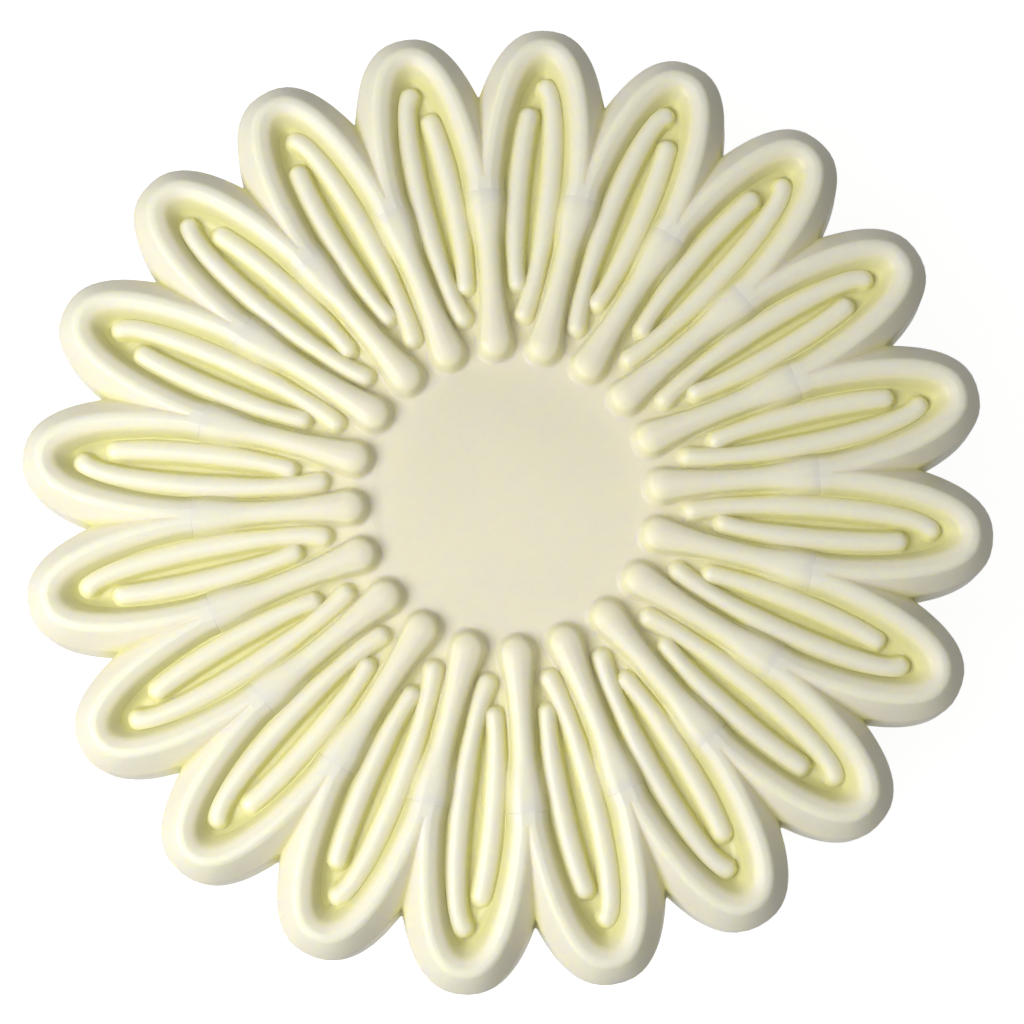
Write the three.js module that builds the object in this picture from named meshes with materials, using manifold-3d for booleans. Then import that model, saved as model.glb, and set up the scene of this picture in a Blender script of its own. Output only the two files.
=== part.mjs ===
// Flower plunger cutter for sugar paste: a twenty-petal cutting wall around a sprung, veined embossing plate.
// Millimetres, +Z up. The cutter stands on its push knob with the cutting edge uppermost.
// The origin is the middle of the knob's face. One petal points along +X.
import * as THREE from 'three';
import { mergeVertices } from 'three/addons/utils/BufferGeometryUtils.js';
import Module from 'manifold-3d';

const wasm = await Module();
wasm.setup();

// Flower outline, seen from above
const petalCount = 20;
const overallRadius = 52.5;
const edgeFlare = 3.2;
const petalWidestRadius = 34.25;
const crestGapHalf = 0.53;
const petalFullness = 2.4;
const footFullness = 2.0;
const petalSteps = 12;
const innerSteps = 10;
const noseSteps = 4;

// Section of the cutting wall, measured out from and down from the crest of the edge
const edgeLandHalf = 0.25;
const edgeRoundOut = 0.6;
const edgeRoundDown = 0.5;
const edgeRoundSteps = 2;
const bevelOut = 2.65;
const bevelDown = 2.6;
const backChamfer = 0.6;
const innerFootSide = 1.6;
const innerFootTip = 2.4;
const noseTopRun = 0.9;
const noseFootRun = 1.1;
const noseBluntness = 3;

// Thickness stack from the back of the body up to the cutting edge
const backThickness = 1.8;
const flangeThickness = 1.2;
const plateThickness = 2.0;
const recessDepth = 2.4;

// Spokes and veins of the embossing plate
const spokeDrop = 0.3;
const spokeInnerRadius = 15.2;
const spokeInnerHalf = 1.9;
const spokeOuterHalf = 1.55;
const spokeRound = 1.2;
const veinHeight = 1.3;
const veinHalf = 1.4;
const veinRound = 1.1;
const veinSteps = 4;
const spokeSteps = 1;
const endSteps = 4;
const ribRoundSteps = 3;
const ribRoot = 0.4;

// Each vein leaves a point beyond the spokes' inner ends, bows aside from the petal's axis and stops short
// of the tip. Run is measured along the axis, aside across it, lead and bow to the handles of its curve.
const longVein = { startRun: 4.8, startAside: 0.2, startLead: 6.0, startBow: 2.15,
  stopRun: 4.55, stopAside: 0.35, stopLead: 1.6, stopBow: 2.4 };
const shortVein = { startRun: 8.0, startAside: 0.85, startLead: 3.8, startBow: 1.8,
  stopRun: 7.8, stopAside: 1.2, stopLead: 4.8, stopBow: 1.95 };

// Plunger
const stemRadius = 4.5;
const flangeRadius = 10;
const pegStep = 1.0;
const pegLength = 9;
const guideWall = 1.8;
const guideLength = 7;
const socketWall = 2.2;
const plungerTravel = 6;
const travelReserve = 1.5;

// Knob and collar
const knobCapHeight = 8;
const knobFloor = 3;
const knobDish = 0.9;
const knobRestRing = 2.5;
const knobEdgeRound = 2.4;
const capOverhang = 3.2;
const skirtWall = 2.2;
const skirtEngage = 9;
const collarWall = 2.5;
const collarFillet = 1.6;
const lipChamfer = 0.5;
const roundSteps = 36;
const dishSteps = 2;
const bendSteps = 3;

// Spring
const wireRadius = 0.55;
const springTurns = 8;
const springRoom = 1.2;
const endPitch = 1.7;
const stepsPerTurn = 10;
const wireSides = 5;

// Clearances
const slideGap = 0.25;
const seatGap = 0.3;
const jointGap = 0.1;

// Levels, up from the knob's face
const collarEndZ = knobCapHeight + plungerTravel + travelReserve;
const backZ = collarEndZ + skirtEngage + plungerTravel + travelReserve;
const wellFloorZ = backZ + backThickness;
const flangeBackZ = wellFloorZ + seatGap;
const plateBackZ = flangeBackZ + flangeThickness + jointGap;
const plateFloorZ = plateBackZ + plateThickness;
const edgeZ = plateFloorZ + recessDepth;
const spokeTopZ = edgeZ - spokeDrop;
const veinTopZ = plateFloorZ + veinHeight;
const guideEndZ = backZ - guideLength;
const socketTopZ = guideEndZ - plungerTravel - travelReserve;
const skirtTopZ = collarEndZ + skirtEngage;
const pegEndZ = socketTopZ - pegLength;

// Radii, outward from the stem
const pegRadius = stemRadius - pegStep;
const guideBore = stemRadius + slideGap;
const guideRadius = guideBore + guideWall;
const socketBore = pegRadius + jointGap;
const socketRadius = socketBore + socketWall;
const coilRadius = Math.max(guideRadius, socketRadius) + springRoom + wireRadius;
const skirtBore = coilRadius + wireRadius + springRoom;
const skirtRadius = skirtBore + skirtWall;
const collarBore = skirtRadius + slideGap;
const collarRadius = collarBore + collarWall;
const capRadius = collarRadius + capOverhang;

// The crest of one petal is a full, rounded oval whose axis runs along +X
const halfPitch = Math.PI / petalCount;
const edgeTipRadius = overallRadius - edgeFlare;
const crestLength = edgeTipRadius - petalWidestRadius;
const petalHalfWidth = petalWidestRadius * Math.tan(halfPitch) - crestGapHalf;

const ivory = { color: 0xefe9cf, roughness: 0.38, metalness: 0 };
const steel = { color: 0xb9bcc0, roughness: 0.3, metalness: 1 };

const turned = (point, angle) => point.clone().rotateAround(new THREE.Vector2(), angle);
const range = (count, make) => Array.from({ length: count }, (_, index) => make(index));

function ovalPoint(angle, alongGrowth, acrossGrowth, fullness = petalFullness) {
  const power = 2 / fullness;
  const along = Math.sign(Math.cos(angle)) * Math.abs(Math.cos(angle)) ** power;
  const across = Math.sign(Math.sin(angle)) * Math.abs(Math.sin(angle)) ** power;
  return new THREE.Vector2(
    petalWidestRadius + (crestLength + alongGrowth) * along,
    (petalHalfWidth + acrossGrowth) * across,
  );
}

// Outline outside the crest: neighbouring petals run into each other on the line half way between them.
function outerRing(growth) {
  const past = (angle) => {
    const point = ovalPoint(angle, growth, growth);
    return point.y - point.x * Math.tan(halfPitch);
  };
  const scan = range(120, (index) => (index + 1) * Math.PI / 180);
  let high = scan.find((angle) => past(angle) > 0);
  let low = high - Math.PI / 180;
  for (let pass = 0; pass < 40; pass += 1) {
    const middle = (low + high) / 2;
    if (past(middle) > 0) high = middle;
    else low = middle;
  }
  const petal = range(petalSteps, (step) => ovalPoint(low * (2 * step / petalSteps - 1), growth, growth));
  return range(petalCount, (index) => petal.map((point) => turned(point, 2 * halfPitch * index))).flat();
}

// Outline inside the crest: petal ovals joined by blunt noses, where the wall between two petals ends.
function innerRing(shrinkTip, shrinkSide, noseRun, fullness) {
  const arc = range(innerSteps + 1, (step) => {
    const angle = Math.PI * (step / innerSteps - 0.5);
    return ovalPoint(angle, -shrinkTip, -shrinkSide, fullness);
  });
  const shoulder = turned(arc[innerSteps], -halfPitch);
  const noseRadius = petalWidestRadius - noseRun;
  const nose = range(noseSteps - 1, (step) => {
    const angle = Math.PI * ((step + 1) / noseSteps - 0.5);
    const reach = Math.abs(Math.cos(angle)) ** (2 / noseBluntness);
    const spread = Math.sign(Math.sin(angle)) * Math.abs(Math.sin(angle)) ** (2 / noseBluntness);
    const point = new THREE.Vector2(
      shoulder.x - (shoulder.x - noseRadius) * reach,
      -shoulder.y * spread,
    );
    return turned(point, halfPitch);
  });
  const petal = [...arc, ...nose];
  return range(petalCount, (index) => petal.map((point) => turned(point, 2 * halfPitch * index))).flat();
}

// A closed body through outlines stacked upward, all with the same number of points.
function loft(levels) {
  const count = levels[0].ring.length;
  const positions = levels.flatMap(({ ring, z }) => ring.flatMap((point) => [point.x, point.y, z]));
  const triangles = [];
  for (let level = 0; level < levels.length - 1; level += 1) {
    for (let step = 0; step < count; step += 1) {
      const here = level * count + step;
      const next = level * count + (step + 1) % count;
      triangles.push(here, next, next + count, here, next + count, here + count);
    }
  }
  const bottom = THREE.ShapeUtils.triangulateShape(levels[0].ring, []);
  bottom.forEach(([a, b, c]) => triangles.push(a, c, b));
  const lift = (levels.length - 1) * count;
  const top = THREE.ShapeUtils.triangulateShape(levels[levels.length - 1].ring, []);
  top.forEach(([a, b, c]) => triangles.push(a + lift, b + lift, c + lift));
  const geometry = new THREE.BufferGeometry();
  geometry.setAttribute('position', new THREE.Float32BufferAttribute(positions, 3));
  geometry.setIndex(triangles);
  return geometry;
}

// A body of revolution from a closed profile of radius and height.
function revolve(profile, steps = roundSteps) {
  const points = profile.map(([radius, z]) => new THREE.Vector2(radius, z));
  if (points[0].x > 0) points.push(points[0].clone());
  const geometry = new THREE.LatheGeometry(points, steps);
  geometry.rotateX(Math.PI / 2);
  return geometry;
}

function solid(geometry) {
  const bare = geometry.clone();
  bare.deleteAttribute('normal');
  bare.deleteAttribute('uv');
  const merged = mergeVertices(bare, 1e-4);
  return new wasm.Manifold(new wasm.Mesh({
    numProp: 3,
    vertProperties: Float32Array.from(merged.attributes.position.array),
    triVerts: Uint32Array.from(merged.index.array),
  }));
}

function surface(body) {
  const mesh = body.getMesh();
  const geometry = new THREE.BufferGeometry();
  geometry.setAttribute('position', new THREE.Float32BufferAttribute(mesh.vertProperties, 3));
  geometry.setIndex(Array.from(mesh.triVerts));
  return geometry;
}

// A rib with round ends in plan, drawn along a path, and a domed crest in section.
function rib(path, startHalf, endHalf, rounding, topZ, steps) {
  const spine = range(steps + 1, (step) => ({
    point: path.getPoint(step / steps),
    along: path.getTangent(step / steps),
    half: THREE.MathUtils.lerp(startHalf, endHalf, step / steps),
  }));
  const around = ({ point, along, half }, angle) => {
    return turned(along, angle).multiplyScalar(half).add(point);
  };
  const first = spine[0];
  const last = spine[steps];
  const inside = spine.slice(1, -1);
  const endAngles = range(endSteps + 1, (step) => Math.PI * (step / endSteps - 0.5));
  const outline = [
    ...inside.map((station) => around(station, -Math.PI / 2)),
    ...endAngles.map((angle) => around(last, angle)),
    ...inside.reverse().map((station) => around(station, Math.PI / 2)),
    ...endAngles.map((angle) => around(first, angle + Math.PI)),
  ];
  const geometry = new THREE.ExtrudeGeometry(new THREE.Shape(outline), {
    depth: ribRoot,
    bevelSize: rounding,
    bevelOffset: -rounding,
    bevelThickness: topZ - plateFloorZ,
    bevelSegments: ribRoundSteps,
    curveSegments: 1,
  });
  geometry.translate(0, 0, plateFloorZ - ribRoot);
  return geometry;
}

// Rounding of the cutting edge: distance out from its crest and depth below it, from the foot up
const edgeRound = range(edgeRoundSteps + 1, (step) => {
  const angle = Math.PI / 2 * step / edgeRoundSteps;
  return {
    out: edgeLandHalf + edgeRoundOut * Math.cos(angle),
    down: edgeRoundDown * (1 - Math.sin(angle)),
  };
});

// The well inside the wall, or the same shrunk by a gap for what slides in it
function wellLevels(gap, bottomZ) {
  const foot = innerRing(innerFootTip + gap, innerFootSide + gap, noseFootRun + gap, footFullness);
  const lip = (out) => innerRing(out + gap, out + gap, noseTopRun + gap, petalFullness);
  return [
    { ring: foot, z: bottomZ },
    { ring: foot, z: plateFloorZ },
    ...edgeRound.map(({ out, down }) => ({ ring: lip(out), z: edgeZ - down })),
    { ring: lip(edgeLandHalf), z: edgeZ + seatGap },
  ];
}

// Cutting wall, back plate, collar and stem guide, moulded in one
function cutterBody() {
  const outside = loft([
    { ring: outerRing(edgeFlare - backChamfer), z: backZ },
    { ring: outerRing(edgeFlare), z: backZ + backChamfer },
    { ring: outerRing(bevelOut), z: edgeZ - bevelDown },
    ...edgeRound.map(({ out, down }) => ({ ring: outerRing(out), z: edgeZ - down })),
  ]);
  const well = loft(wellLevels(0, wellFloorZ));
  const collar = revolve([
    [guideBore, guideEndZ],
    [guideRadius - lipChamfer, guideEndZ],
    [guideRadius, guideEndZ + lipChamfer],
    [guideRadius, backZ],
    [collarBore, backZ],
    [collarBore, collarEndZ + lipChamfer],
    [collarBore + lipChamfer, collarEndZ],
    [collarRadius - lipChamfer, collarEndZ],
    [collarRadius, collarEndZ + lipChamfer],
    [collarRadius, backZ - collarFillet],
    [collarRadius + collarFillet, backZ],
    [collarRadius + collarFillet, wellFloorZ],
    [guideBore, wellFloorZ],
  ]);
  const stemHole = new THREE.CylinderGeometry(guideBore, guideBore, edgeZ, roundSteps);
  stemHole.rotateX(Math.PI / 2);
  stemHole.translate(0, 0, backZ);
  return surface(solid(outside).subtract(solid(well)).add(solid(collar)).subtract(solid(stemHole)));
}

// The curve of one vein, on the side of the petal's axis given by the sign
function veinPath(vein, side) {
  const startX = spokeInnerRadius + vein.startRun;
  const stopX = edgeTipRadius - vein.stopRun;
  return new THREE.CubicBezierCurve(
    new THREE.Vector2(startX, side * vein.startAside),
    new THREE.Vector2(startX + vein.startLead, side * vein.startBow),
    new THREE.Vector2(stopX - vein.stopLead, side * vein.stopBow),
    new THREE.Vector2(stopX, side * vein.stopAside),
  );
}

// Veined plate that slides inside the wall. The long vein changes sides from petal to petal.
function embossingPlate() {
  const [back, floor] = wellLevels(slideGap, plateBackZ);
  const room = solid(loft(wellLevels(slideGap, plateFloorZ - ribRoot)));
  const spokePath = new THREE.LineCurve(
    new THREE.Vector2(spokeInnerRadius + spokeInnerHalf, 0),
    new THREE.Vector2(petalWidestRadius, 0),
  );
  const spoke = solid(rib(spokePath, spokeInnerHalf, spokeOuterHalf, spokeRound, spokeTopZ, spokeSteps));
  const vein = (shape, side) => {
    return solid(rib(veinPath(shape, side), veinHalf, veinHalf, veinRound, veinTopZ, veinSteps));
  };
  const pairs = [1, -1].map((side) => vein(longVein, side).add(vein(shortVein, -side)));
  const pitch = 360 / petalCount;
  const relief = range(petalCount, (index) => {
    const pair = pairs[index % 2].rotate([0, 0, pitch * index]);
    return pair.add(spoke.rotate([0, 0, pitch * (index + 0.5)]));
  }).reduce((sum, petal) => sum.add(petal));
  return surface(solid(loft([back, floor])).add(relief.intersect(room)));
}

// Stem with the flange that carries the plate
function plungerStem() {
  return revolve([
    [0, pegEndZ],
    [pegRadius - lipChamfer, pegEndZ],
    [pegRadius, pegEndZ + lipChamfer],
    [pegRadius, socketTopZ + jointGap],
    [stemRadius, socketTopZ + jointGap],
    [stemRadius, flangeBackZ],
    [flangeRadius, flangeBackZ],
    [flangeRadius, plateBackZ - jointGap],
    [0, plateBackZ - jointGap],
  ]);
}

// Push knob: dished cap, skirt that slides in the collar, and the socket for the stem
function pushKnob() {
  const dishRadius = capRadius - knobEdgeRound - knobRestRing;
  const dish = range(dishSteps + 1, (step) => {
    const share = step / dishSteps;
    return [dishRadius * share, knobDish * (1 - share ** 2)];
  });
  const bend = (centreR, centreZ, radius, from) => range(bendSteps + 1, (step) => {
    const angle = from + Math.PI / 2 * step / bendSteps;
    return [centreR + radius * Math.cos(angle), centreZ + radius * Math.sin(angle)];
  });
  return revolve([
    ...dish,
    ...bend(capRadius - knobEdgeRound, knobEdgeRound, knobEdgeRound, -Math.PI / 2),
    ...bend(capRadius - knobEdgeRound, knobCapHeight - knobEdgeRound, knobEdgeRound, 0),
    [skirtRadius, knobCapHeight],
    [skirtRadius, skirtTopZ - lipChamfer],
    [skirtRadius - lipChamfer, skirtTopZ],
    [skirtBore, skirtTopZ],
    [skirtBore, knobFloor],
    [socketRadius, knobFloor],
    [socketRadius, socketTopZ],
    [socketBore, socketTopZ],
    [socketBore, pegEndZ - jointGap],
    [0, pegEndZ - jointGap],
  ]);
}

// Compression spring with a close turn at each end
class Coil extends THREE.Curve {
  getPoint(t) {
    const lowZ = knobFloor + seatGap + wireRadius;
    const highZ = backZ - seatGap - wireRadius;
    const turn = t * springTurns;
    const middlePitch = (highZ - lowZ - 2 * endPitch) / (springTurns - 2);
    const climb = THREE.MathUtils.clamp(turn - 1, 0, springTurns - 2) * middlePitch;
    const ends = (Math.min(turn, 1) + Math.max(turn - springTurns + 1, 0)) * endPitch;
    const angle = 2 * Math.PI * turn;
    return new THREE.Vector3(coilRadius * Math.cos(angle), coilRadius * Math.sin(angle), lowZ + climb + ends);
  }
}

function returnSpring() {
  const wire = new THREE.Shape(range(wireSides, (side) => {
    const angle = 2 * Math.PI * side / wireSides;
    return new THREE.Vector2(wireRadius * Math.cos(angle), wireRadius * Math.sin(angle));
  }));
  const coil = new Coil();
  const steps = springTurns * stepsPerTurn;
  const spine = range(steps + 1, (step) => coil.getPoint(step / steps));
  let leastGap = Infinity;
  spine.forEach((point, step) => spine.slice(step + stepsPerTurn / 2).forEach((other) => {
    leastGap = Math.min(leastGap, point.distanceTo(other) - 2 * wireRadius);
  }));
  console.log(`least gap between turns of the spring: ${leastGap.toFixed(2)} mm`);
  return new THREE.ExtrudeGeometry(wire, { steps, extrudePath: coil, bevelEnabled: false });
}

const cutter = new THREE.Group();
cutter.name = 'flower_cutter';
const pieces = [
  ['cutter_body', cutterBody(), ivory],
  ['embossing_plate', embossingPlate(), ivory],
  ['plunger_stem', plungerStem(), ivory],
  ['push_knob', pushKnob(), ivory],
  ['return_spring', returnSpring(), steel],
];
pieces.forEach(([name, geometry, finish]) => {
  const mesh = new THREE.Mesh(geometry, new THREE.MeshStandardMaterial(finish));
  mesh.name = name;
  cutter.add(mesh);
});

export default cutter;
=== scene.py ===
import math
import bpy
import bmesh
import numpy as np
from mathutils import Matrix, Vector


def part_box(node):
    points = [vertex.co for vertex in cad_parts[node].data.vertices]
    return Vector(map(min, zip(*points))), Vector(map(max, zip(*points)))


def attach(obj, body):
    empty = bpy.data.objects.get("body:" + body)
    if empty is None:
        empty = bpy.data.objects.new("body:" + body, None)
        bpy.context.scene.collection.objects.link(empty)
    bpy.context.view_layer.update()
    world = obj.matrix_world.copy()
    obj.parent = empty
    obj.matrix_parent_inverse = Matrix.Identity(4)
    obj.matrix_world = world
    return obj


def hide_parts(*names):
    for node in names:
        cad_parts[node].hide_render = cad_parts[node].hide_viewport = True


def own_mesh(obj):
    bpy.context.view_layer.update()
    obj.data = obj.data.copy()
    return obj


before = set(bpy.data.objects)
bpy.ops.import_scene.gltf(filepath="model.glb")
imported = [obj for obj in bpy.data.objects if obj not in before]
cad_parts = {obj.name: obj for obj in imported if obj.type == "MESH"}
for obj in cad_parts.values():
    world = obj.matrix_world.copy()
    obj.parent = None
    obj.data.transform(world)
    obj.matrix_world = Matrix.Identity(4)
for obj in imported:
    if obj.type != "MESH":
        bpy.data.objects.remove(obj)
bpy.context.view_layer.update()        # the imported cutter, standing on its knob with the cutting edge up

mm = 0.001               # every size below is in millimetres
weld = 0.002             # points of a piece that are closer than this become one

# The flower's plan, shared by the cutting wall and the plate
flower = {
    "petals": 20,
    "widestRadius": 34.25,   # where a petal is broadest
    "crestGap": 0.53,        # from a petal's crest line to the line half way to the next petal
    "fullness": 2.4,         # 2 is an ellipse, more is squarer
    "footFullness": 2.0,     # the foot of the wall inside a petal is more pointed
    "flare": 3.2,            # from the crest line out to the foot of the wall
    "noseBluntness": (40, 30),   # the same for the wall's blunt ends between petals, at top and foot
    "arcColumns": 32,
    "noseColumns": 9,
    "arcSamples": 2001,
    "valleySamples": 4801,
}
halfPitch = math.pi / flower["petals"]
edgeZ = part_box("cutter_body")[1].z / mm
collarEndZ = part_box("cutter_body")[0].z / mm
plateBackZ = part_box("embossing_plate")[0].z / mm
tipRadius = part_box("cutter_body")[1].x / mm - flower["flare"]
petalLength = tipRadius - flower["widestRadius"]
petalHalfWidth = flower["widestRadius"] * math.tan(halfPitch) - flower["crestGap"]
recessDepth = 2.4            # cutting edge down to the floor of the plate
footDepth = 1.7              # cutting edge down to where the plate's rim meets the wall
spokeDrop = 0.3              # cutting edge down to the top of the spokes
plateFloorZ = edgeZ - recessDepth


def turn(points, angle):
    c, s = math.cos(angle), math.sin(angle)
    return np.column_stack((points[:, 0] * c - points[:, 1] * s, points[:, 0] * s + points[:, 1] * c))


def allRound(petal):                       # one petal's stretch of a line, repeated round the flower
    return np.concatenate([turn(petal, 2 * halfPitch * k) for k in range(flower["petals"])])


def signedPower(value, power):
    return np.sign(value) * np.abs(value) ** power


def oval(angle, tipGrowth, sideGrowth, fullness=flower["fullness"]):   # a petal's crest line, or one near it
    power = 2 / fullness
    along = (petalLength + tipGrowth) * signedPower(np.cos(angle), power)
    across = (petalHalfWidth + sideGrowth) * signedPower(np.sin(angle), power)
    return np.column_stack((flower["widestRadius"] + along, across))


def evenAngles(count):                     # oval angles that step evenly along the crest line
    fine = np.linspace(-math.pi / 2, math.pi / 2, flower["arcSamples"])
    steps = np.linalg.norm(np.diff(oval(fine, 0, 0), axis=0), axis=1)
    run = np.concatenate(([0], np.cumsum(steps)))
    return np.interp(np.linspace(0, run[-1], count), run, fine)


def noseLine(shoulder, reach, angle, share=1):   # blunt end of the wall, lying along +X
    top, foot = flower["noseBluntness"]
    power = 2 / (top + (foot - top) * share)
    x = shoulder[0] - (shoulder[0] - reach) * np.abs(np.cos(angle)) ** power
    y = abs(shoulder[1]) * signedPower(np.sin(angle), power)
    return np.column_stack((x, y))


def insideLine(tipShrink, sideShrink, noseReach, fullness=flower["fullness"], share=0):
    arc = oval(evenAngles(flower["arcColumns"]), -tipShrink, -sideShrink, fullness)
    shoulder = turn(arc[-1:], -halfPitch)[0]
    count = flower["noseColumns"]
    angle = math.pi * (np.arange(1, count + 1) / (count + 1) - 0.5)
    nose = noseLine(shoulder, min(noseReach, shoulder[0]), angle, share)
    return np.concatenate((arc, turn(nose, halfPitch)))


def outsideLine(growth, valleyHalf, valleyRound):   # neighbouring petals meet in a rounded valley
    fine = np.radians(np.linspace(-20, 100, flower["valleySamples"]))   # from the tip to past the side
    line = turn(oval(fine, growth, growth), -halfPitch)
    end = int(np.argmax(line[:, 1] > 0))
    line, fine = line[:end + 1], fine[:end + 1]
    stop = np.interp(-valleyHalf, line[:, 1], fine)
    angles = evenAngles(flower["arcColumns"]) * stop / (math.pi / 2)
    upper = turn(oval(angles[flower["arcColumns"] // 2:], growth, growth), -halfPitch)[:, 1]
    valley = np.linspace(-valleyHalf, valleyHalf, flower["noseColumns"] + 2)[1:-1]
    aside = np.concatenate((upper, valley))
    x = np.interp(-np.hypot(aside, valleyRound), line[:, 1], line[:, 0])
    half = turn(np.column_stack((x, aside)), halfPitch)
    arcHalf = half[:len(upper)]
    return np.concatenate((arcHalf[::-1] * (1, -1), half))


def roundedPath(corners, steps=6):         # a line through corners of x, y and radius
    path = []
    for index, (x, y, radius) in enumerate(corners):
        here = Vector((x, y))
        if radius == 0:
            path.append(here)
            continue
        before = (Vector(corners[index - 1][:2]) - here).normalized()
        after = (Vector(corners[index + 1][:2]) - here).normalized()
        half = before.angle(after) / 2
        centre = here + (before + after).normalized() * radius / math.sin(half)
        start = here + before * radius / math.tan(half) - centre
        sweep = start.angle_signed(here + after * radius / math.tan(half) - centre)
        for step in range(steps + 1):
            path.append(centre + Matrix.Rotation(-sweep * step / steps, 2) @ start)
    return np.array(path)


def spread(low, high, count, density, samples=1201):   # from low to high, closer where density is high
    fine = np.linspace(low, high, samples)
    weight = density(fine)
    run = np.concatenate(([0], np.cumsum((weight[1:] + weight[:-1]) / 2)))
    return np.interp(np.linspace(0, run[-1], count), run, fine)


def level(line, z):
    return np.column_stack((line, np.full(len(line), z)))


def circle(radius, z, columns):
    if radius < 1e-6:
        return np.array([[0, 0, z]])
    angle = 2 * math.pi * np.arange(columns) / columns - halfPitch
    return level(np.column_stack((radius * np.cos(angle), radius * np.sin(angle))), z)


def strip(first, second, a, b):            # faces between two rings whose points start at a and b
    n, m = len(first), len(second)
    if n == m:
        return [(a + i, b + i, b + (i + 1) % m, a + (i + 1) % n) for i in range(n)]
    if m == 1:
        return [(a + i, b, a + (i + 1) % n) for i in range(n)]
    if n == 1:
        return [(a, b + i, b + (i + 1) % m) for i in range(m)]
    turnA, turnB = (np.unwrap(np.arctan2(ring[:, 1], ring[:, 0])) for ring in (first, second))
    endA, endB = ([*turns[1:], turns[0] + 2 * math.pi, math.inf] for turns in (turnA, turnB))
    faces, i, j = [], 0, 0
    while i < n or j < m:                  # step along the ring whose next point comes first
        if endA[i] <= endB[j]:
            faces.append((a + i % n, b + j % m, a + (i + 1) % n))
            i += 1
        else:
            faces.append((a + i % n, b + j % m, b + (j + 1) % m))
            j += 1
    return faces


def skin(rings, closed=False):             # points and faces of a surface drawn over a row of rings
    starts = np.concatenate(([0], np.cumsum([len(ring) for ring in rings])))
    order = list(range(len(rings))) + ([0] if closed else [])
    faces = []
    for here, after in zip(order, order[1:]):
        faces += strip(rings[here], rings[after], int(starts[here]), int(starts[after]))
    return np.concatenate(rings), faces


def piece(name, points, faces, material, body, node, shades=None, crease=38):
    mesh = bpy.data.meshes.new(name)
    mesh.from_pydata((np.asarray(points) * mm).tolist(), [], faces)
    for shade, values in (shades or {}).items():
        mesh.attributes.new(shade, "FLOAT", "POINT").data.foreach_set("value", np.float32(values))
    work = bmesh.new()
    work.from_mesh(mesh)
    bmesh.ops.remove_doubles(work, verts=work.verts, dist=weld * mm)
    bmesh.ops.recalc_face_normals(work, faces=work.faces)
    work.to_mesh(mesh)
    work.free()
    mesh.polygons.foreach_set("use_smooth", [True] * len(mesh.polygons))
    mesh.set_sharp_from_angle(angle=math.radians(crease))
    mesh.materials.append(material)
    made = bpy.data.objects.new(name, mesh)
    bpy.context.scene.collection.objects.link(made)
    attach(made, body)
    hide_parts(node)
    print(f"{name}: {len(mesh.vertices)} points, {len(mesh.polygons)} faces")
    return made


def linear(hexColour):                     # sRGB hex to the linear values that Blender mixes
    parts = [int(hexColour[i:i + 2], 16) / 255 for i in (1, 3, 5)]
    return [*(p / 12.92 if p <= 0.04045 else ((p + 0.055) / 1.055) ** 2.4 for p in parts), 1]


def addNode(tree, kind, settings=None, links=None):
    node = tree.nodes.new(kind)
    for name, value in (settings or {}).items():
        if name in node.inputs:
            node.inputs[name].default_value = value
        else:
            setattr(node, name, value)
    for name, source in (links or {}).items():
        tree.links.new(source, node.inputs[name])
    return node


def newMaterial(name):
    material = bpy.data.materials.new(name)
    material.use_nodes = True
    material.node_tree.nodes.clear()
    return material, material.node_tree


# Ivory polypropylene, injection moulded in a satin tool: light goes a little way into it, so edges glow pale,
# and light that stays in the grooves comes out yellow. The grooves' yellow is also painted shade, and the
# crowns' paler colour is a painted highlight.
ivory = {
    "colour": "#EBE6D2",
    # painted highlight colour for the crowns, and painted yellow shade colour for the grooves and hollows
    "ridgeHighlightColour": "#EAE8D7",
    "grooveShadeColour": "#DFDC88",
    "roughness": (0.36, 0.46),
    "ior": 1.49,
    "scatter": 1.0,
    "scatterDepth": 1.5,     # how far red light travels inside the plastic
    "scatterShare": (1.0, 1.05, 0.25),   # red, green and blue, as shares of that
    "flowSize": 28,          # slow drift of tone where the melt flowed
    "flowDrift": 0.03,
    "grainSize": 0.45,       # satin grain of the tool, drawn coarser than the real 0.1 to show
    "grainDepth": 0.006,
    "grainStrength": 0.5,
}


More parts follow.
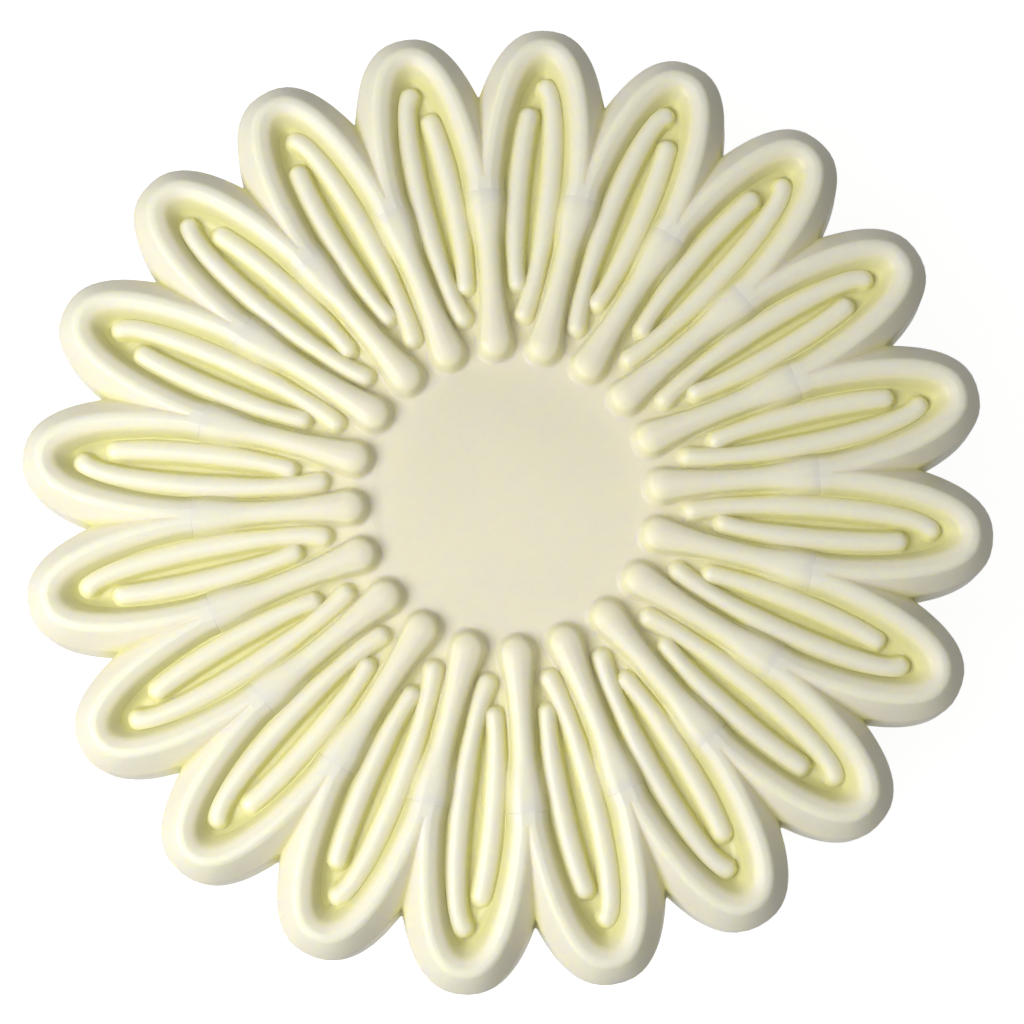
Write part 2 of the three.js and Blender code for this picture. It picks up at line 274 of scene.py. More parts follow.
def mouldedIvory():
    material, tree = newMaterial("ivory_polypropylene_moulded")
    place = addNode(tree, "ShaderNodeTexCoord").outputs["Object"]
    flow = addNode(tree, "ShaderNodeTexNoise", {"Scale": 1 / (ivory["flowSize"] * mm), "Detail": 2.0},
                   {"Vector": place})
    grain = addNode(tree, "ShaderNodeTexNoise", {"Scale": 1 / (ivory["grainSize"] * mm), "Detail": 3.0},
                    {"Vector": place})
    # per-point value: 0 is plain, towards 1 mixes in the painted yellow shade, towards -1 the painted pale
    # highlight
    relief = addNode(tree, "ShaderNodeAttribute", {"attribute_name": "toneAndPaintedLight"}).outputs["Fac"]
    colour = linear(ivory["colour"])
    toneAndPaintedLight = None
    for end, name in ((1.0, "grooveShadeColour"), (-1.0, "ridgeHighlightColour")):
        share = addNode(tree, "ShaderNodeMapRange", {"From Max": end}, {"Value": relief})
        mixed = addNode(tree, "ShaderNodeMix", {"data_type": "RGBA"}, {"Factor": share.outputs["Result"]})
        mixed.inputs["A"].default_value = colour
        mixed.inputs["B"].default_value = linear(ivory[name])
        if toneAndPaintedLight:
            tree.links.new(toneAndPaintedLight.outputs["Result"], mixed.inputs["A"])
        toneAndPaintedLight = mixed
    drift = addNode(tree, "ShaderNodeMapRange",
                    {"To Min": 1 - ivory["flowDrift"], "To Max": 1 + ivory["flowDrift"]},
                    {"Value": flow.outputs["Fac"]})
    colour = addNode(tree, "ShaderNodeHueSaturation", {},
                     {"Color": toneAndPaintedLight.outputs["Result"], "Value": drift.outputs["Result"]})
    rough = addNode(tree, "ShaderNodeMapRange",
                    {"To Min": ivory["roughness"][0], "To Max": ivory["roughness"][1]},
                    {"Value": grain.outputs["Fac"]})
    bump = addNode(tree, "ShaderNodeBump",
                   {"Strength": ivory["grainStrength"], "Distance": ivory["grainDepth"] * mm},
                   {"Height": grain.outputs["Fac"]})
    seam = addNode(tree, "ShaderNodeAttribute", {"attribute_name": "seam"})
    scatter = addNode(tree, "ShaderNodeMapRange", {"To Min": ivory["scatter"], "To Max": 0.0},
                      {"Value": seam.outputs["Fac"]})
    plastic = addNode(tree, "ShaderNodeBsdfPrincipled", {
        "IOR": ivory["ior"],
        "Subsurface Radius": ivory["scatterShare"],
        "Subsurface Scale": ivory["scatterDepth"] * mm,
    }, {"Base Color": colour.outputs["Color"], "Roughness": rough.outputs["Result"],
        "Normal": bump.outputs["Normal"], "Subsurface Weight": scatter.outputs["Result"]})
    addNode(tree, "ShaderNodeOutputMaterial", {}, {"Surface": plastic.outputs["BSDF"]})
    return material


# Stainless spring wire, cold drawn: bright metal, its shine broken up by faint marks of the die.
wire = {
    "colour": "#B9BCC0",
    "roughness": (0.24, 0.36),
    "markSize": 0.12,        # marks of the die, drawn coarser than the real 0.02 to show
}


def drawnSteel():
    material, tree = newMaterial("stainless_spring_wire_drawn")
    place = addNode(tree, "ShaderNodeTexCoord").outputs["Object"]
    marks = addNode(tree, "ShaderNodeTexNoise", {"Scale": 1 / (wire["markSize"] * mm), "Detail": 2.0},
                    {"Vector": place})
    rough = addNode(tree, "ShaderNodeMapRange",
                    {"To Min": wire["roughness"][0], "To Max": wire["roughness"][1]},
                    {"Value": marks.outputs["Fac"]})
    steel = addNode(tree, "ShaderNodeBsdfPrincipled", {"Base Color": linear(wire["colour"]), "Metallic": 1.0},
                    {"Roughness": rough.outputs["Result"]})
    addNode(tree, "ShaderNodeOutputMaterial", {}, {"Surface": steel.outputs["BSDF"]})
    return material


ivoryPlastic = mouldedIvory()
springSteel = drawnSteel()
print("materials ready")

# Cutting wall, back, collar and stem guide, moulded in one
wall = {
    "height": 7.8,
    "backThickness": 1.8,
    "footSide": 1.75,        # crest line in to the foot of the wall, at a petal's sides and at its tip
    "footTip": 2.45,
    "tipShare": 0.6,         # share of a tip's inward reach that follows the slope's run, not its depth
    "noseTop": -0.1,         # how far the wall's blunt ends reach in from the petals' widest line
    "noseFoot": 1.1,
    "noseRound": 0.003,
    "noseDrop": 0.006,       # small step down from the wall to a spoke's end
    "noseCrown": 0.2,        # the painted highlight of the blunt ends' tops, as a share of the way down a rib
    "seamReach": 0.5,        # light scatters less this near the slit beside the plate
    "crestFlat": 0.6,
    "crestRound": 0.8,
    "innerFlat": 0.2,
    "innerShoulder": (1.15, 0.42),   # in and down, where the crown turns into the slope
    "innerRound": 0.8,
    "slopeRows": 8,
    "bevel": (2.65, 2.6),    # where the sloping shoulder turns into the upright wall: out and down
    "shoulderRound": 1.5,
    "chamfer": 0.6,
    "toeRound": 0.5,
    "crestHighlightTone": -0.7,       # painted highlight, pale at the crest, plain from the bevel down
    "bridgeEnd": 0.02,       # neighbouring petals are joined until this near the line between them
    "bridgeGrowth": 0.65,    # the join draws out by this share of the growth
    "valleyHalf": 0.3,
    "valleyRound": 0.12,
    "valleyShadeReach": 1.0,      # painted shade darkens the tone this near the valley's line
    "valleyShadeFade": 0.5,       # and is full this far out from the crest line
    "valleyShadeTone": 0.8,
    "backShares": (0.25, 0.5, 0.75),     # rings of the flat back, on the way in to the collar
    "roundColumns": 144,
}
collar = {
    "radius": 15.0,
    "bore": 12.5,
    "fillet": 1.6,
    "filletRun": 2,          # the turned rings start this many fillets out from the collar
    "rimRun": 3,             # and the flat back's rings draw in to a circle this many out
    "lip": 0.7,
    "guideRadius": 6.55,
    "guideBore": 4.75,
    "guideLength": 7.0,
    "guideRound": 0.6,
}
# painted highlight and shade at shares of the way across a rib, from its middle (0) to the groove (1): a pale
# highlight on the crown, yellow shade towards the groove
ribPaintedLights = ((0, -1), (0.2, -0.7), (0.35, -0.1), (0.6, 0.28), (0.85, 0.62), (1, 0.8))


def ribPaintedLight(share):
    shares, tones = zip(*ribPaintedLights)
    return np.interp(share, shares, tones)


def wallInside():                          # section of the wall inside a petal, in from the crest and down
    section = roundedPath([
        (0, 0, 0),
        (wall["innerFlat"], 0, wall["innerRound"]),
        (*wall["innerShoulder"], wall["innerRound"]),
        (wall["footSide"], footDepth, 0),
    ])
    slope = np.linspace(0, 1, wall["slopeRows"])[1:-1, None]
    return np.concatenate((section[:-1], section[-2] * (1 - slope) + section[-1] * slope, section[-1:]))


def cutterWall():
    rings, toneAndPaintedLight, seam = [], [], []
    petal = [flower["arcColumns"], flower["noseColumns"]]

    def addRing(ring, tones=0, seams=0):
        rings.append(ring)
        toneAndPaintedLight.append(np.zeros(len(ring)) + tones)
        seam.append(np.zeros(len(ring)) + seams)

    def onPetals(arc, nose):               # one value on the petals' arcs, another between petals
        return np.tile(np.repeat((arc, nose), petal), flower["petals"])

    backZ = edgeZ - wall["height"]
    wellFloorZ = backZ + wall["backThickness"]
    noseSection = roundedPath([
        (wall["noseTop"], 0, 0),
        (wall["noseFoot"], 0, wall["noseRound"]),
        (wall["noseFoot"], wall["noseDrop"], 0),
    ])

    def insideLevel(shrink, down):
        share = shrink / wall["footSide"]
        deep = min(down / footDepth, 1)
        tip = wall["footTip"] * (wall["tipShare"] * share + (1 - wall["tipShare"]) * deep)
        nose = np.interp(down, noseSection[1:, 1], noseSection[1:, 0]) if down > 0 else wall["noseTop"]
        fullness = flower["fullness"] + (flower["footFullness"] - flower["fullness"]) * share
        return insideLine(tip, shrink, flower["widestRadius"] - nose, fullness, share)

    addRing(level(allRound(insideLevel(wall["footSide"], footDepth)), wellFloorZ))
    for shrink, down in wallInside()[::-1]:
        toFoot = math.hypot(wall["footSide"] - shrink, footDepth - down)
        share = shrink / wall["footSide"]
        # inside of the wall: painted highlight at the crest, painted shade deepening down to the foot
        addRing(level(allRound(insideLevel(shrink, down)), edgeZ - down),
                onPetals(ribPaintedLight(share), ribPaintedLight(max(share, wall["noseCrown"]))),
                onPetals(max(0, 1 - toFoot / wall["seamReach"]), float(down > 0)))
    outside = roundedPath([
        (0, 0, 0),
        (wall["crestFlat"], 0, wall["crestRound"]),
        (*wall["bevel"], wall["shoulderRound"]),
        (flower["flare"], wall["height"] - wall["chamfer"], wall["toeRound"]),
        (flower["flare"] - wall["chamfer"], wall["height"], 0),
    ])[1:]
    for growth, down in outside:
        if growth < flower["crestGap"] - wall["bridgeEnd"]:
            reach = flower["widestRadius"] - wall["noseTop"] + wall["bridgeGrowth"] * growth
            line = insideLine(-growth, -growth, reach)
        else:
            line = outsideLine(growth, wall["valleyHalf"], wall["valleyRound"])
        ring = level(allRound(line), edgeZ - down)
        # painted shade in the valleys between petals, and painted highlight near the crest
        angle = np.arctan2(ring[:, 1], ring[:, 0]) % (2 * halfPitch) - halfPitch
        toValley = np.hypot(ring[:, 0], ring[:, 1]) * np.abs(np.sin(angle))
        valley = np.clip(1 - toValley / wall["valleyShadeReach"], 0, 1) * min(growth / wall["valleyShadeFade"], 1)
        crestHighlight = 1 - min(down / wall["bevel"][1], 1)
        addRing(ring, wall["crestHighlightTone"] * crestHighlight + wall["valleyShadeTone"] * valley)
    foot = rings[-1][:, :2]
    angle = np.arctan2(foot[:, 1], foot[:, 0])
    rimRadius = collar["radius"] + collar["rimRun"] * collar["fillet"]
    rim = rimRadius * np.column_stack((np.cos(angle), np.sin(angle)))
    for share in wall["backShares"]:
        addRing(level(foot * (1 - share) + rim * share, backZ))
    turned = roundedPath([
        (collar["radius"] + collar["filletRun"] * collar["fillet"], backZ, 0),
        (collar["radius"], backZ, collar["fillet"]),
        (collar["radius"], collarEndZ, collar["lip"]),
        (collar["bore"], collarEndZ, collar["lip"]),
        (collar["bore"], backZ, collar["lip"]),
        (collar["guideRadius"], backZ, collar["lip"]),
        (collar["guideRadius"], backZ - collar["guideLength"], collar["guideRound"]),
        (collar["guideBore"], backZ - collar["guideLength"], collar["guideRound"]),
        (collar["guideBore"], wellFloorZ, 0),
    ])
    for radius, z in turned:
        addRing(circle(radius, z, wall["roundColumns"]))
    points, faces = skin(rings, closed=True)
    shades = {"toneAndPaintedLight": np.concatenate(toneAndPaintedLight), "seam": np.concatenate(seam)}
    return piece("cutter_wall", points, faces, ivoryPlastic, "cutter", "cutter_body", shades)


cutterWall()

# Veined plate that slides inside the wall
plate = {
    "gap": 0.004,            # to the wall
    "discRadius": 14.4,      # flat middle, inside the spokes
    "discMargin": 0.2,       # the open edge within this of the middle is closed with one flat face
    "discTone": 0.08,        # tone of the flat middle, a little yellower than plain
    "toneRun": 12.0,         # the ribs' painted highlight and shade come in over this run from the spokes' start
    "startTone": 0.25,       # and has this share on spokes that are higher than startHeight
    "startHeight": 0.5,
    "cornerAside": 2.22,     # where the outline turns from a spoke's end into the petal's side
    "flankColumns": 12,
    "middleColumns": 72,
    "innerRows": 76,
    "petalRows": 58,
    # columns, flanks and rows: how much closer they lie at the edge of a rib, and within what reach
    "crowding": {"column": (4, 0.45), "flank": (2, 0.45), "row": (2.5, 0.6)},
    "spokeLead": 0.4,        # from the spokes' start to the rows that are crowded there
    "tipRows": 0.3,          # the same at the petal's tip
    "tipInset": 0.008,       # the last row stops this short of the tip
    "bowRun": 4.0,           # the petal's first rows are bowed, and straighten over this run
    "rimSamples": 400,
    "rimStrides": (5, 8),    # along the spoke's end and along the petal's side
    "coveWidth": 1.2,        # the floor turns up where it meets the wall
}
spoke = {
    "start": 14.5,
    "half": 1.8,             # the section is drawn for this, then stretched to the widths below
    # half width at distances from the centre: broad at the flat middle, narrow between the veins
    "halves": ((14.5, 2.4), (17.0, 2.1), (19.0, 1.78), (21.5, 1.52), (24.5, 1.42), (27.5, 1.5), (30.0, 1.72),
               (33.2, 2.15)),
    "height": recessDepth - spokeDrop,
    "foot": 0.7,             # a spoke's sides stop short of the floor, and a cove leads on
    "coveRun": 0.9,
    "footFrom": 18.0,        # the cove starts here and is full after footRun
    "footRun": 4.0,
    "riseFrom": 26.5,        # from here the spoke takes on the wall's section and climbs to meet it
    "riseShort": 1.5,        # and has it this far in from the petals' widest line
}
vein = {
    "half": 1.55,            # as for the spokes
    "halves": ((20.0, 1.25), (25.0, 1.12), (30.0, 1.4), (38.0, 1.4), (43.0, 1.28)),   # along the petal
    "height": 1.3,
    # each vein's curve, run along the petal's axis from the centre and aside from it
    "long": ((19.9, 0.2), (25.9, 2.15), (43.3, 2.45), (45.0, 0.4)),
    "short": ((23.2, -0.85), (27.0, -1.8), (36.9, -1.95), (41.7, -1.2)),
}
ribShape = {
    "flat": 0.2,             # shares of a rib's half width, out to its shoulder
    "shoulder": 0.76,
    "shoulderDrop": 0.35,    # the crown falls this far to the shoulder, then the side is steep
    "crownRound": 1.2,
    "shoulderRound": 0.6,
    "footRound": 0.3,
    "floorRun": 5.0,         # floor beside the rib, drawn on with its section
}


def veinCurve(handles, count=160):
    t = np.linspace(0, 1, count)[:, None]
    a, b, c, d = (np.array(handle) for handle in handles)
    return (1 - t) ** 3 * a + 3 * t * (1 - t) ** 2 * b + 3 * t ** 2 * (1 - t) * c + t ** 3 * d


def ribHeight(share, half, height):        # height of a rib at a share of its half width from the middle line
    section = roundedPath([
        (0, height, 0),
        (ribShape["flat"] * half, height, ribShape["crownRound"]),
        (ribShape["shoulder"] * half, height - ribShape["shoulderDrop"], ribShape["shoulderRound"]),
        (half, 0, ribShape["footRound"]),
        (half + ribShape["floorRun"], 0, 0),
    ], steps=16)
    return np.interp(share * half, section[:, 0], section[:, 1])


def distanceTo(points, line):
    nearest = np.full(len(points), np.inf)
    for start, stop in zip(line, line[1:]):
        along = stop - start
        share = np.clip((points - start) @ along / (along @ along), 0, 1)
        nearest = np.minimum(nearest, np.linalg.norm(points - start - share[:, None] * along, axis=1))
    return nearest


def merge(a, b, blend=0.3):                # the higher of two reliefs, rounded where they run together
    near = np.maximum(blend - np.abs(a - b), 0) / blend
    return np.maximum(a, b) + near * near * blend / 4 * np.minimum(1, np.minimum(a, b) / blend)


def ribHalf(rib, place):
    places, halves = zip(*rib["halves"])
    return np.interp(place, places, halves)


def relief(points):                        # height above the floor, and share of the way to a groove
    height, nearest = np.zeros(len(points)), np.ones(len(points))
    for handles in (vein["long"], vein["short"]):
        share = distanceTo(points, veinCurve(handles)) / ribHalf(vein, points[:, 0])
        height = merge(height, ribHeight(share, vein["half"], vein["height"]))
        nearest = np.minimum(nearest, share)
    section = wallInside()
    away = [*(flower["crestGap"] + section[:, 0]), flower["crestGap"] + wall["footSide"] + spoke["coveRun"]]
    tops = [*(recessDepth - wall["noseDrop"] - section[:, 1]), 0]
    start = spoke["start"] + spoke["halves"][0][1]
    riseRun = flower["widestRadius"] - spoke["riseShort"] - spoke["riseFrom"]
    for side in (1, -1):
        run, across = turn(points, -side * halfPitch).T
        half = ribHalf(spoke, run)
        aside = np.hypot(np.minimum(run - start, 0), across)
        share = aside / half
        climb = np.clip((run - spoke["riseFrom"]) / riseRun, 0, 1)
        climb = climb * climb * (3 - 2 * climb)
        foot = spoke["foot"] * np.clip((run - spoke["footFrom"]) / spoke["footRun"], 0, 1)
        cove = foot * np.clip(1 - (aside - half) / spoke["coveRun"], 0, 1) ** 2
        rib = merge(ribHeight(share, spoke["half"], spoke["height"]), cove)
        height = merge(height, rib * (1 - climb) + np.interp(aside, away, tops) * climb)
        ending = np.maximum(aside - flower["crestGap"], 0) / wall["footSide"]
        share = share * (1 - climb) + np.maximum(ending, wall["noseCrown"]) * climb
        nearest = np.minimum(nearest, share)
    return height, nearest


def crowd(distance, kind):                 # how much closer the plate's points lie near the edge of a rib
    gain, reach = plate["crowding"][kind]
    return gain * np.exp(-(distance / reach) ** 2)


def acrossDensity(x):                      # more columns on the flanks of the ribs
    lines = [veinCurve(handles) for handles in (vein["long"], vein["short"])]
    ribs = [(np.interp(x, line[:, 0], line[:, 1]), ribHalf(vein, x)) for line in lines]
    ribs += [(sign * x * math.tan(halfPitch), ribHalf(spoke, x)) for sign in (1, -1)]
    return lambda y: 1 + sum(crowd(np.abs(y - middle) - half, "column") for middle, half in ribs)


def flankDensity(half):                    # the same beside a spoke's middle line
    return lambda away: 1 + crowd(away - half, "flank")


def rowDensity(*ends):                     # more rows where a rib starts or stops
    return lambda x: 1 + sum(crowd(x - end, "row") for end in ends)


def plateOutline():                        # a spoke's end, its corner's place and the petal's side from there
    gap, samples = plate["gap"], plate["rimSamples"]
    arc = oval(np.linspace(0, math.pi / 2, samples)[::-1], -wall["footTip"] - gap, -wall["footSide"] - gap,
               flower["footFullness"])
    shoulder = turn(arc[:1], -halfPitch)[0]
    evenly = np.linspace(0, 1, samples) ** (flower["noseBluntness"][1] / 2)
    front = noseLine(shoulder, flower["widestRadius"] - wall["noseFoot"] - gap, -np.arcsin(evenly))
    corner = int(np.argmax(np.abs(front[:, 1]) > plate["cornerAside"]))
    front = turn(front, halfPitch)
    return front, corner, np.concatenate((front[corner:], arc[1:]))


def petalPatch():                          # one petal's share of the top, between two spokes' middle lines
    front, corner, side = plateOutline()
    frontAngle = np.arctan2(front[:, 1], front[:, 0])
    frontRadius = np.hypot(front[:, 0], front[:, 1])
    cornerAngle, cornerRadius = frontAngle[corner], frontRadius[corner]
    endStride, sideStride = plate["rimStrides"]
    rim = np.concatenate((front[:corner:endStride], side[::sideStride]))
    veinStarts = [vein[name][0][0] - vein["half"] for name in ("long", "short")]
    veinStops = [vein[name][3][0] + vein["half"] for name in ("long", "short")]
    innerRows = spread(plate["discRadius"], cornerRadius, plate["innerRows"],
                       rowDensity(spoke["start"] + plate["spokeLead"], *veinStarts, cornerRadius))
    points, rows = [], []
    for radius in innerRows:
        half = radius * math.sin(halfPitch)
        corners = radius * math.sin(cornerAngle)
        middle = spread(-corners, corners, plate["middleColumns"], acrossDensity(radius))
        density = flankDensity(ribHalf(spoke, radius))
        flank = half - spread(0, half - corners, plate["flankColumns"], density)[::-1]
        across = np.concatenate((-flank[:0:-1], middle, flank[1:]))
        angle = np.arcsin(across / radius)
        angle[0], angle[-1] = -halfPitch, halfPitch
        share = (radius - plate["discRadius"]) / (cornerRadius - plate["discRadius"])
        reach = np.interp(np.abs(angle), frontAngle[::-1], frontRadius[::-1])
        reach = np.where(np.abs(angle) <= cornerAngle, cornerRadius, reach)
        r = plate["discRadius"] + (reach - plate["discRadius"]) * share
        rows.append(range(len(points), len(points) + len(across)))
        points += [*zip(r * np.cos(angle), r * np.sin(angle))]
    wide = len(rows[0])
    faces = [(rows[i][j], rows[i + 1][j], rows[i + 1][j + 1], rows[i][j + 1])
             for i in range(len(rows) - 1) for j in range(wide - 1)]
    first = plate["flankColumns"] - 1
    last = list(rows[-1][first:first + plate["middleColumns"]])
    tip = side[-1, 0]
    cornerX = cornerRadius * math.cos(cornerAngle)
    petalRows = spread(cornerX, tip - plate["tipInset"], plate["petalRows"],
                       rowDensity(cornerX, *veinStops, tip - plate["tipRows"], tip))
    for x in petalRows[1:]:
        half = float(np.interp(x, side[:, 0], side[:, 1]))
        across = spread(-half, half, plate["middleColumns"], acrossDensity(x))
        bowed = (cornerRadius - cornerX) * max(0, 1 - (x - cornerX) / plate["bowRun"]) ** 2
        bow = bowed * (1 - (across / half) ** 2)
        here = range(len(points), len(points) + len(across))
        points += [*zip(x + bow, across)]
        faces += [(last[j], here[j], here[j + 1], last[j + 1]) for j in range(len(across) - 1)]
        last = list(here)
    points = np.array(points)
    folded = np.column_stack((points[:, 0], np.abs(points[:, 1])))
    return points, faces, distanceTo(folded, rim)


def plateTop():                            # points, faces, tone and seam of the whole veined face
    flat, faces, toWall = petalPatch()
    height, nearest = relief(flat)
    cove = np.clip(1 - toWall / plate["coveWidth"], 0, 1) ** 2 * (recessDepth - footDepth)
    height = merge(height, cove)
    z = plateFloorZ + height
    radius = np.hypot(flat[:, 0], flat[:, 1])
    # painted highlight on the ribs' crowns and painted shade towards the grooves, faded in from the spokes'
    # start; the flat middle keeps its own slight yellow
    veined = np.maximum(np.clip((radius - spoke["start"]) / plate["toneRun"], 0, 1),
                        plate["startTone"] * np.clip(height / plate["startHeight"], 0, 1))
    toneAndPaintedLight = ribPaintedLight(nearest) * veined + plate["discTone"] * (1 - veined)
    seam = np.clip(1 - toWall / wall["seamReach"], 0, 1)
    allPoints, allFaces = [], []
    for k in range(flower["petals"]):
        mirror = 1 if k % 2 == 0 else -1   # the long vein changes sides from petal to petal
        start = len(flat) * k
        allPoints.append(np.column_stack((turn(flat * (1, mirror), 2 * halfPitch * k), z)))
        allFaces += [tuple(start + v for v in face) for face in faces]
    shades = {"toneAndPaintedLight": np.tile(toneAndPaintedLight, flower["petals"]), "seam": np.tile(seam, flower["petals"])}
    return np.concatenate(allPoints), allFaces, shades


def embossingPlate():                      # the veined face, closed with its middle, sides and flat back
    points, faces, shades = plateTop()
    work = bmesh.new()
    mesh = bpy.data.meshes.new("plate_top")
    mesh.from_pydata(points.tolist(), [], faces)
    for shade, values in shades.items():
        mesh.attributes.new(shade, "FLOAT", "POINT").data.foreach_set("value", np.float32(values))
    work.from_mesh(mesh)
    bmesh.ops.remove_doubles(work, verts=work.verts, dist=weld)
    edges = [e for e in work.edges if e.is_boundary]
    discEdge = plate["discRadius"] + plate["discMargin"]
    middle = [e for e in edges if e.verts[0].co.xy.length < discEdge]
    outer = [e for e in edges if e.verts[0].co.xy.length >= discEdge]
    bmesh.ops.contextual_create(work, geom=middle)
    down = bmesh.ops.extrude_edge_only(work, edges=outer)["geom"]
    for vert in (v for v in down if isinstance(v, bmesh.types.BMVert)):
        vert.co.z = plateBackZ
        for shade in shades:               # the plate's sides and back are plain
            vert[work.verts.layers.float[shade]] = 0
    back = [e for e in down if isinstance(e, bmesh.types.BMEdge) and e.is_boundary]
    bmesh.ops.contextual_create(work, geom=back)
    work.to_mesh(mesh)
    work.free()
    for shade in shades:
        shades[shade] = np.zeros(len(mesh.vertices), np.float32)
        mesh.attributes[shade].data.foreach_get("value", shades[shade])
    corners = [v.co[:] for v in mesh.vertices]
    sides = [tuple(p.vertices) for p in mesh.polygons]
    bpy.data.meshes.remove(mesh)
    return piece("veined_plate", corners, sides, ivoryPlastic, "plunger",
                 "embossing_plate", shades)


embossingPlate()

# Push knob and stem, both turned shapes
knob = {
    "capRadius": 18.2,
    "capHeight": 8.0,
    "edgeRound": 2.4,
    "restRing": 2.5,         # flat ring on which the cutter stands
    "dish": 0.9,
    "dishRings": 9,
    "floor": 3.0,
    "skirtRadius": 12.25,
    "skirtBore": 10.05,
    "skirtTop": 24.5,
    "socketRadius": 5.8,
    "socketBore": 3.6,
    "socketTop": 17.5,
    "socketFloor": 8.4,
    "neckRound": 0.6,
    "rimRound": 0.5,
    "socketRound": 0.3,
    "columns": 128,
}


def pushKnob():
    dishRadius = knob["capRadius"] - knob["edgeRound"] - knob["restRing"]
    rimRound = knob["rimRound"]
    dish = [(dishRadius * s, knob["dish"] * (1 - s * s), 0) for s in np.linspace(0, 1, knob["dishRings"])]
    profile = roundedPath([
        *dish,
        (knob["capRadius"], 0, knob["edgeRound"]),
        (knob["capRadius"], knob["capHeight"], knob["edgeRound"]),
        (knob["skirtRadius"], knob["capHeight"], knob["neckRound"]),
        (knob["skirtRadius"], knob["skirtTop"], rimRound),
        (knob["skirtBore"], knob["skirtTop"], rimRound),
        (knob["skirtBore"], knob["floor"], rimRound),
        (knob["socketRadius"], knob["floor"], rimRound),
        (knob["socketRadius"], knob["socketTop"], rimRound),
        (knob["socketBore"], knob["socketTop"], knob["socketRound"]),
        (knob["socketBore"], knob["socketFloor"], 0),
        (0, knob["socketFloor"], 0),
    ])
    points, faces = skin([circle(radius, z, knob["columns"]) for radius, z in profile])
    return piece("push_knob_cap", points, faces, ivoryPlastic, "plunger", "push_knob")


pushKnob()

stem = {
    "radius": 4.5,
    "pegRadius": 3.5,
    "pegEnd": 8.5,
    "shoulder": 17.6,
    "flangeRadius": 10.0,
    "flangeBack": 34.1,
    "flangeTop": 35.3,
    "edgeRound": 0.2,
    "pegRound": 0.5,
    "columns": 72,
}


def plungerStem():
    edgeRound = stem["edgeRound"]
    profile = roundedPath([
        (0, stem["pegEnd"], 0),
        (stem["pegRadius"], stem["pegEnd"], stem["pegRound"]),
        (stem["pegRadius"], stem["shoulder"], 0),
        (stem["radius"], stem["shoulder"], edgeRound),
        (stem["radius"], stem["flangeBack"], edgeRound),
        (stem["flangeRadius"], stem["flangeBack"], edgeRound),
        (stem["flangeRadius"], stem["flangeTop"], edgeRound),
        (0, stem["flangeTop"], 0),
    ])
    points, faces = skin([circle(radius, z, stem["columns"]) for radius, z in profile])
    return piece("stem_with_flange", points, faces, ivoryPlastic, "plunger",
                 "plunger_stem")


plungerStem()

coil = {
    "radius": 8.3,
    "wireRadius": 0.55,
    "turns": 8,
    "endPitch": 1.7,         # the first and last turns lie close
    "stepsPerTurn": 40,
    "wireColumns": 14,
    "travel": 6.0,
}


def returnSpring():
    low, high = (corner.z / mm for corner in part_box("return_spring"))
    low, high = low + coil["wireRadius"], high - coil["wireRadius"]
    turns, ends = coil["turns"], coil["endPitch"]
    heights = [low, low + ends, high - ends, high]
    rings = []
    around = 2 * math.pi * np.arange(coil["wireColumns"]) / coil["wireColumns"]
    for turnNow in np.linspace(0, turns, turns * coil["stepsPerTurn"] + 1):
        angle = 2 * math.pi * turnNow
        z = np.interp(turnNow, [0, 1, turns - 1, turns], heights)
        out = np.array((math.cos(angle), math.sin(angle), 0))
        centre = coil["radius"] * out + (0, 0, z)
        outline = np.outer(np.cos(around), out) + np.outer(np.sin(around), (0, 0, 1))
        rings.append(centre + coil["wireRadius"] * outline)
    ends = [rings[0].mean(0, keepdims=True), rings[-1].mean(0, keepdims=True)]
    points, faces = skin([ends[0], *rings, ends[1]])
    made = piece("coil_spring", points, faces, springSteel, "cutter", "return_spring")
    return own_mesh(made)


returnSpring()

# Pale floor, white surroundings, a soft key light from the lower left of the view and a weaker one above
studio = {
    "floorSize": 6000,
    "floorColour": "#B4B4B1",
    "floorLift": 0.87,       # added for the camera, so that the lit floor shows white
    "worldLight": 0.21,
    # each softbox: power, azimuth, elevation, distance and size
    "softboxes": {
        "key_softbox": (0.66, 206, 49, 280, 150),
        "top_softbox": (0.42, 206, 76, 500, 420),
    },
}


def aim(azimuth, elevation):               # unit vector from the cutter towards a lamp or the camera
    a, e = math.radians(azimuth), math.radians(elevation)
    return Vector((math.cos(e) * math.cos(a), math.cos(e) * math.sin(a), math.sin(e)))


def seenDirectly(tree):                    # 1 for what the camera, a reflection or glass looks at
    path = addNode(tree, "ShaderNodeLightPath")
    first = addNode(tree, "ShaderNodeMath", {"operation": "MAXIMUM"})
    tree.links.new(path.outputs["Is Camera Ray"], first.inputs[0])
    tree.links.new(path.outputs["Is Glossy Ray"], first.inputs[1])
    both = addNode(tree, "ShaderNodeMath", {"operation": "MAXIMUM"})
    tree.links.new(first.outputs[0], both.inputs[0])
    tree.links.new(path.outputs["Is Transmission Ray"], both.inputs[1])
    return both.outputs[0]


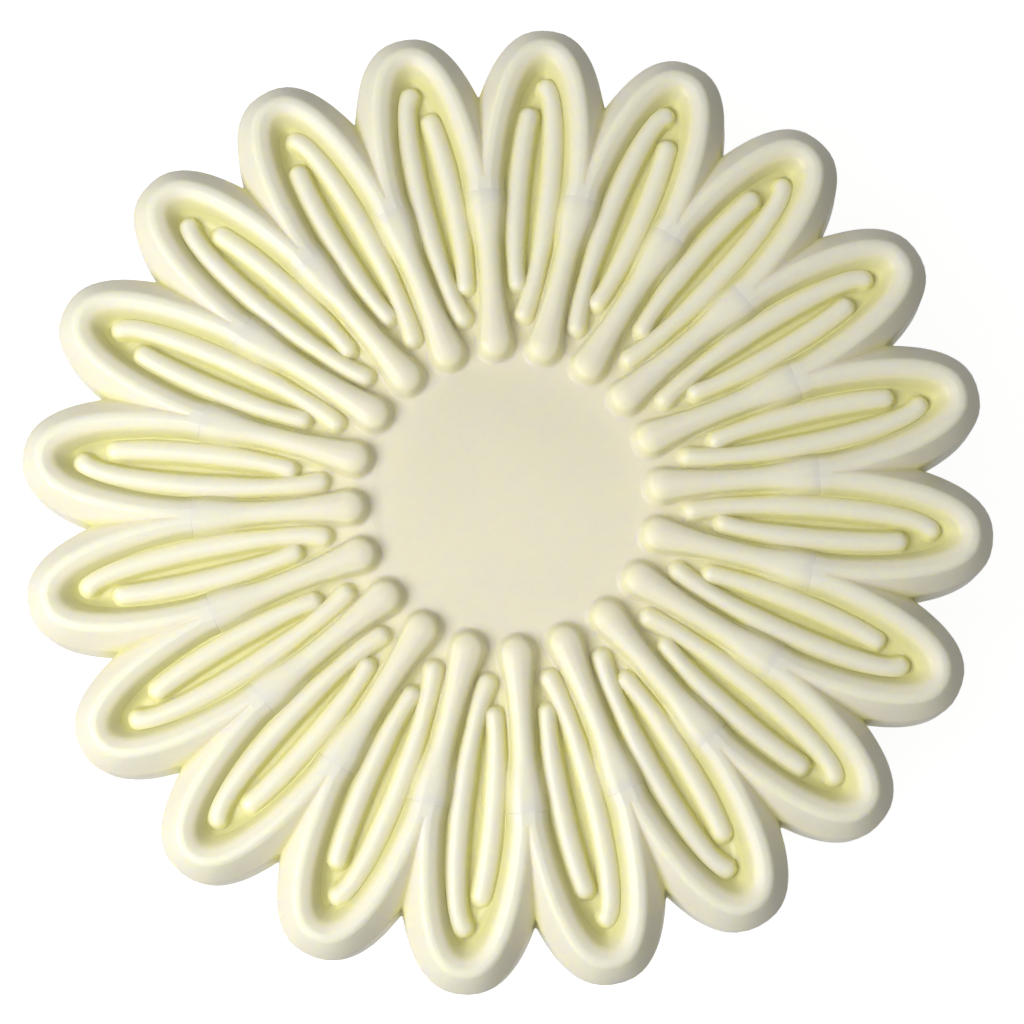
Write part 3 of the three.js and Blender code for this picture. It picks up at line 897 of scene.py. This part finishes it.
def makeStudio():
    material, tree = newMaterial("studio_floor_painted")
    paint = addNode(tree, "ShaderNodeBsdfDiffuse", {"Color": linear(studio["floorColour"])})
    lift = addNode(tree, "ShaderNodeMath", {"operation": "MULTIPLY"})
    tree.links.new(seenDirectly(tree), lift.inputs[0])
    lift.inputs[1].default_value = studio["floorLift"]
    glow = addNode(tree, "ShaderNodeEmission", {}, {"Strength": lift.outputs[0]})
    both = addNode(tree, "ShaderNodeAddShader")
    tree.links.new(paint.outputs[0], both.inputs[0])
    tree.links.new(glow.outputs[0], both.inputs[1])
    addNode(tree, "ShaderNodeOutputMaterial", {}, {"Surface": both.outputs[0]})
    bpy.ops.mesh.primitive_plane_add(size=studio["floorSize"] * mm)
    floor = bpy.context.active_object
    floor.name = "studio_floor"
    floor.data.materials.append(material)

    world = bpy.data.worlds.new("white_studio")
    bpy.context.scene.world = world
    world.use_nodes = True
    tree = world.node_tree
    tree.nodes.clear()
    lit = addNode(tree, "ShaderNodeBackground", {"Strength": studio["worldLight"]})
    seen = addNode(tree, "ShaderNodeBackground", {"Strength": 1.0})
    for shade in (lit, seen):
        shade.inputs["Color"].default_value = (1, 1, 1, 1)
    mix = addNode(tree, "ShaderNodeMixShader", {}, {"Fac": seenDirectly(tree)})
    tree.links.new(lit.outputs[0], mix.inputs[1])
    tree.links.new(seen.outputs[0], mix.inputs[2])
    addNode(tree, "ShaderNodeOutputWorld", {}, {"Surface": mix.outputs[0]})

    for name, (power, azimuth, elevation, distance, size) in studio["softboxes"].items():
        lamp = bpy.data.lights.new(name, "AREA")
        lamp.energy = power
        lamp.size = size * mm
        made = bpy.data.objects.new(name, lamp)
        bpy.context.scene.collection.objects.link(made)
        toLamp = aim(azimuth, elevation)
        made.location = (Vector((0, 0, edgeZ)) + toLamp * distance) * mm
        made.rotation_euler = toLamp.to_track_quat("Z", "Y").to_euler()


makeStudio()

# Camera nearly straight above the face, as in the photograph
camera = {
    "target": (0.785, -1.652, 38.3),
    "distance": 194.8,
    "azimuth": -83.1,
    "elevation": 83.1,
    "roll": -1.84,
    "lens": 64.71,
    "sensor": 36.0,
    "clip": (10, 20000),
}


def makeCamera():
    data = bpy.data.cameras.new("photo_camera")
    data.lens = camera["lens"]
    data.sensor_width = camera["sensor"]
    data.clip_start, data.clip_end = (end * mm for end in camera["clip"])
    made = bpy.data.objects.new("photo_camera", data)
    bpy.context.scene.collection.objects.link(made)
    back = aim(camera["azimuth"], camera["elevation"])
    right = Vector((0, 0, 1)).cross(back).normalized()
    up = back.cross(right)
    roll = math.radians(camera["roll"])
    c, s = math.cos(roll), math.sin(roll)
    tilted = Matrix((right * c + up * s, up * c - right * s, back)).transposed().to_4x4()
    place = (Vector(camera["target"]) + back * camera["distance"]) * mm
    made.matrix_world = Matrix.Translation(place) @ tilted
    bpy.context.scene.camera = made
    bpy.context.scene.view_settings.view_transform = "Standard"


makeCamera()
print("studio and camera ready")
